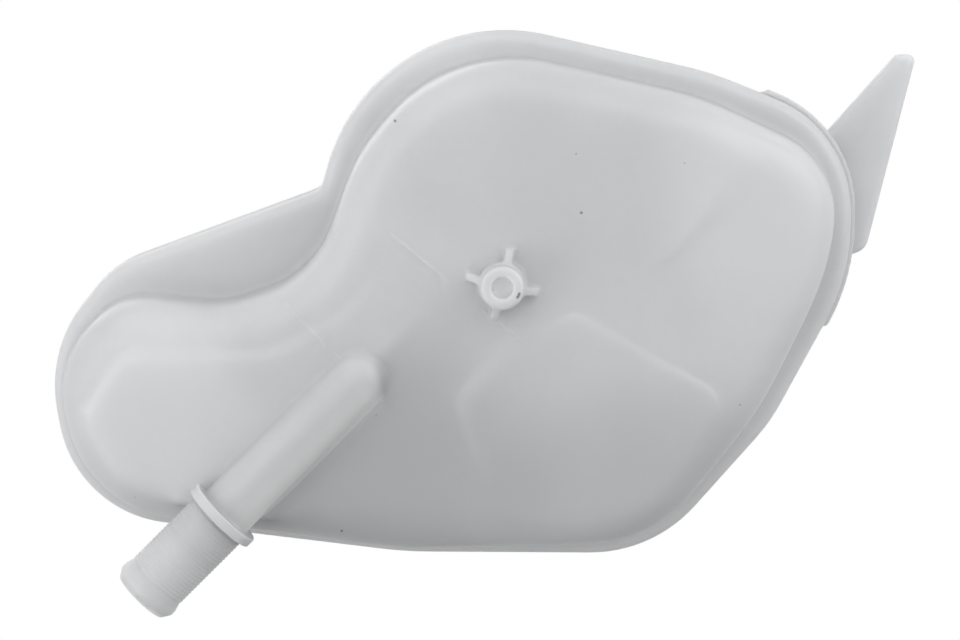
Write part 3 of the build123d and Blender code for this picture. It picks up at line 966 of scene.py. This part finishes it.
class TANK_OT_details(bpy.types.Operator):
    """Adds the weld flash and the level bars to the shells"""

    bl_idname = "tank.details"
    bl_label = "Weld flash and level bars"

    def execute(self, context):
        details = context.scene.tank_details
        milky = bpy.data.materials["milky_upper"]
        settle(self.weld_flash(details), "tank", milky, FLASH_ANGLE)
        skin = bpy.data.objects["upper_skin"]
        for name, height in (("level_bar_low", details.bar_low), ("level_bar_high", details.bar_top)):
            bar = self.level_bar(name, skin, details, height)
            settle(bar, "tank", milky, PIECE_ANGLE)
        return {"FINISHED"}

    def weld_flash(self, details):
        """A fine rolled flash in the groove between the shells, swept along the rim's outer edge."""
        flash = cad_copy("weld_flash", "lower_shell")
        cut = Vector((0.0, 0.0, seam_height - details.weld_drop))
        bpy.ops.object.mode_set(mode="EDIT")
        bpy.ops.mesh.select_all(action="SELECT")
        bpy.ops.mesh.bisect(plane_co=cut, plane_no=(0.0, 0.0, 1.0), clear_inner=True, clear_outer=True)
        bpy.ops.object.mode_set(mode="OBJECT")
        places = places_of(flash)
        pick(flash, places[:, 0] >= places[:, 0].max())
        bpy.ops.mesh.select_linked()
        bpy.ops.mesh.select_all(action="INVERT")
        bpy.ops.mesh.delete(type="VERT")
        bpy.ops.mesh.select_all(action="SELECT")
        bpy.ops.transform.translate(value=(0.0, 0.0, details.weld_drop))
        bpy.ops.object.mode_set(mode="OBJECT")
        bpy.ops.object.convert(target="CURVE")
        flash = bpy.context.object
        flash.data.bevel_depth = details.weld_flash
        flash.data.bevel_resolution = FLASH_STEPS
        bpy.ops.object.convert(target="MESH")
        flash = bpy.context.object
        flash.name = "weld_flash"
        bpy.ops.object.mode_set(mode="EDIT")
        mended()
        bpy.ops.object.mode_set(mode="OBJECT")
        return flash

    def level_bar(self, name, skin, details, height):
        """A plain raised bar on the wall, where the filling level is read."""
        start = Vector((neck_axis.x, cad_box[0][1] - WALL_SEARCH, seam_height + height))
        hit, place, normal, _ = skin.ray_cast(start, Vector((0.0, 1.0, 0.0)))
        if not hit:
            raise RuntimeError("no wall behind the level bar")
        bpy.ops.object.select_all(action="DESELECT")
        bpy.ops.mesh.primitive_cube_add(
            size=1.0,
            location=place,
            rotation=(0.0, 0.0, math.atan2(normal.y, normal.x) + math.pi / 2),
            scale=(details.bar_long, 2 * details.bar_proud, details.bar_high),
        )
        bar = bpy.context.object
        bar.name = name
        bpy.ops.object.transform_apply(location=True, rotation=True, scale=True)
        bpy.ops.object.mode_set(mode="EDIT")
        bpy.ops.mesh.select_all(action="SELECT")
        rounding = details.bar_proud * BAR_ROUNDING
        bpy.ops.mesh.bevel(offset=rounding, segments=BAR_STEPS, affect="EDGES")
        mended()
        bpy.ops.object.mode_set(mode="OBJECT")
        return bar


class TANK_OT_cap(bpy.types.Operator):
    """Builds the filler cap's skin and the threads of the cap and the neck"""

    bl_idname = "tank.cap"
    bl_label = "Filler cap"

    def execute(self, context):
        cap = context.scene.tank_cap
        black = moulded_plastic("cap_black", cap.plastic, cap.worn)
        relaxing = [(lambda places: np.ones(len(places)), cap.passes)]
        skin = soft_skin("filler_cap", "cap_shell", cap.grid, cap.faces, relaxing)
        settle(skin, "cap", black, PIECE_ANGLE)
        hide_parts("cap_shell")
        settle(self.roof_ring(cap), "cap", black, PIECE_ANGLE)
        low = neck_top - cap.thread_drop
        outer = thread("neck_thread", cap.neck_root, cap.neck_crest, low, cap)
        settle(outer, "tank", bpy.data.materials["milky_upper"], THREAD_ANGLE)
        inner = thread("cap_thread", cap.cap_root, cap.cap_crest, low + cap.thread_pitch / 2, cap)
        settle(inner, "cap", black, THREAD_ANGLE)
        return {"FINISHED"}

    def roof_ring(self, cap):
        """A raised ring with rounded edges on the cap's roof."""
        edge = cap.ring_rise / 2
        profile = [
            (cap.ring_inner, -edge),
            (cap.ring_inner, edge / 2),
            (cap.ring_inner + edge / 2, cap.ring_rise - edge / 2),
            (cap.ring_inner + edge * 1.5, cap.ring_rise),
            (cap.ring_outer - edge * 1.5, cap.ring_rise),
            (cap.ring_outer - edge / 2, cap.ring_rise - edge / 2),
            (cap.ring_outer, edge / 2),
            (cap.ring_outer, -edge),
        ]
        middle = neck_axis + Vector((0.0, 0.0, cap_high.z))
        return turned("cap_ring", profile, middle, Vector((0.0, 0.0, 1.0)), RING_STEPS)


class TANK_OT_valves(bpy.types.Operator):
    """Gives the valve insert, its seals and valves their materials and copies their springs in wire"""

    bl_idname = "tank.valves"
    bl_label = "Valves"

    def execute(self, context):
        rubber = seal_rubber("seal_black")
        nylon = moulded_plastic("nylon", *NYLON)
        steel = drawn_metal("spring_wire", *WIRE, smooth=0.26)
        finishes = {
            "valve_insert": moulded_plastic("insert_black", *INSERT_PLASTIC),
            "neck_seal": rubber,
            "relief_seal": rubber,
            "relief_plate": nylon,
            "spring_retainer": nylon,
            "vacuum_plunger": drawn_metal("turned_brass", *BRASS, smooth=0.22),
        }
        for node, finish in finishes.items():
            frame["nodes"][node].material_slots[0].material = finish
        plate_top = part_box("relief_plate")[1].z
        relief_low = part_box("relief_spring")[0].z
        relief_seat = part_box("spring_retainer")[0].z
        vacuum_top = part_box("vacuum_spring")[1].z
        self.coil("relief_coil", "relief_spring", "insert", "relief_open", relief_seat, relief_low, steel)
        self.coil("vacuum_coil", "vacuum_spring", "relief_valve", "vacuum_open", plate_top, vacuum_top, steel)
        return {"FINISHED"}

    def coil(self, name, node, body, joint, seat, free, steel):
        """A copy of a CAD spring in wire on its valve's body; the share it would keep at full opening is
        worked out, but nothing shortens it.
        """
        spring = cad_copy(name, node)
        settle(spring, body, steel, PIECE_ANGLE)
        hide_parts(node)
        keep = 1 - travel[joint] / abs(free - seat)
        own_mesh(spring)


class TANK_OT_stage(bpy.types.Operator):
    """Sets up the floor, the studio light and the camera"""

    bl_idname = "tank.stage"
    bl_label = "Stage"

    def execute(self, context):
        stage = context.scene.tank_stage
        target = Vector(stage.target)
        bpy.ops.object.select_all(action="DESELECT")
        bpy.ops.mesh.primitive_plane_add(size=FLOOR_SIZE, location=(0, 0, -stage.floor_drop))
        floor = context.object
        floor.name = "floor"
        ground = Finish(bpy.data.materials.new("pale_floor"))
        inputs = {"Base Color": (*stage.floor_shade, 1.0), "Roughness": FLOOR_ROUGHNESS}
        floor.data.materials.append(ground.principled(inputs))

        world = bpy.data.worlds.new("studio")
        context.scene.world = world
        sky = Finish(world)
        heading = sky.add("ShaderNodeTexCoord", output="Generated")
        height = sky.add("ShaderNodeSeparateXYZ", {0: heading}, output=2)
        depth = sky.add("ShaderNodeSeparateXYZ", {0: heading}, output=1)
        bright = height.above(*SKY_RISE) * (1 - depth.above(*SKY_BACK) * SKY_BACK_DIM)
        shade = sky.blend(bright, stage.sky_low, (1.0, 1.0, 1.0))
        sky.add("ShaderNodeOutputWorld", {"Surface": sky.add("ShaderNodeBackground", {"Color": shade})})

        for name, offset, size in LIGHTS:
            self.light(name, target, Vector(offset), size, getattr(stage, f"{name}_power"))

        forward = Vector((0.0, math.sin(stage.tilt), math.cos(stage.tilt)))
        up = Vector((0.0, -math.cos(stage.tilt), math.sin(stage.tilt)))
        bpy.ops.object.camera_add(location=target - forward * stage.distance)
        camera = context.object
        camera.rotation_euler = Matrix((forward.cross(up), up, -forward)).transposed().to_euler()
        camera.data.lens = stage.lens
        camera.data.clip_end = VIEW_END
        context.scene.camera = camera
        context.scene.view_settings.view_transform = "Standard"
        return {"FINISHED"}

    def light(self, name, target, offset, size, power):
        """A square soft box that faces the tank."""
        bpy.ops.object.light_add(type="AREA", location=target + offset)
        light = bpy.context.object
        light.name = name
        light.data.size = size
        light.data.energy = power
        light.rotation_euler = (-offset).to_track_quat("-Z", "Y").to_euler()
        light.visible_camera = False


SETTINGS = (
    ("tank_shells", TankShellSettings),
    ("tank_spigot", SpigotSettings),
    ("tank_cap", CapSettings),
    ("tank_details", DetailSettings),
    ("tank_stage", StageSettings),
)
OPERATORS = (
    TANK_OT_lower_shell,
    TANK_OT_upper_shell,
    TANK_OT_spigot,
    TANK_OT_details,
    TANK_OT_cap,
    TANK_OT_valves,
    TANK_OT_stage,
)


class TANK_PT_sidebar(bpy.types.Panel):
    """Lists the tank's pieces and their settings"""

    bl_idname = "TANK_PT_sidebar"
    bl_label = "Coolant expansion tank"
    bl_space_type = "VIEW_3D"
    bl_region_type = "UI"
    bl_category = "Tank"

    def draw(self, context):
        for operator in OPERATORS:
            self.layout.operator(operator.bl_idname)
        for name, group in SETTINGS:
            box = self.layout.box()
            for setting in group.__annotations__:
                box.prop(getattr(context.scene, name), setting)


def register():
    for name, group in SETTINGS:
        bpy.utils.register_class(group)
        setattr(bpy.types.Scene, name, bpy.props.PointerProperty(type=group))
    for operator in OPERATORS:
        bpy.utils.register_class(operator)
    bpy.utils.register_class(TANK_PT_sidebar)


def unregister():
    bpy.utils.unregister_class(TANK_PT_sidebar)
    for operator in reversed(OPERATORS):
        bpy.utils.unregister_class(operator)
    for name, group in reversed(SETTINGS):
        delattr(bpy.types.Scene, name)
        bpy.utils.unregister_class(group)


def main():
    register()
    bpy.ops.tank.lower_shell()
    bpy.ops.tank.upper_shell()
    bpy.ops.tank.spigot()
    bpy.ops.tank.details()
    bpy.ops.tank.cap()
    bpy.ops.tank.valves()
    bpy.ops.tank.stage()


if __name__ == "__main__":
    main()
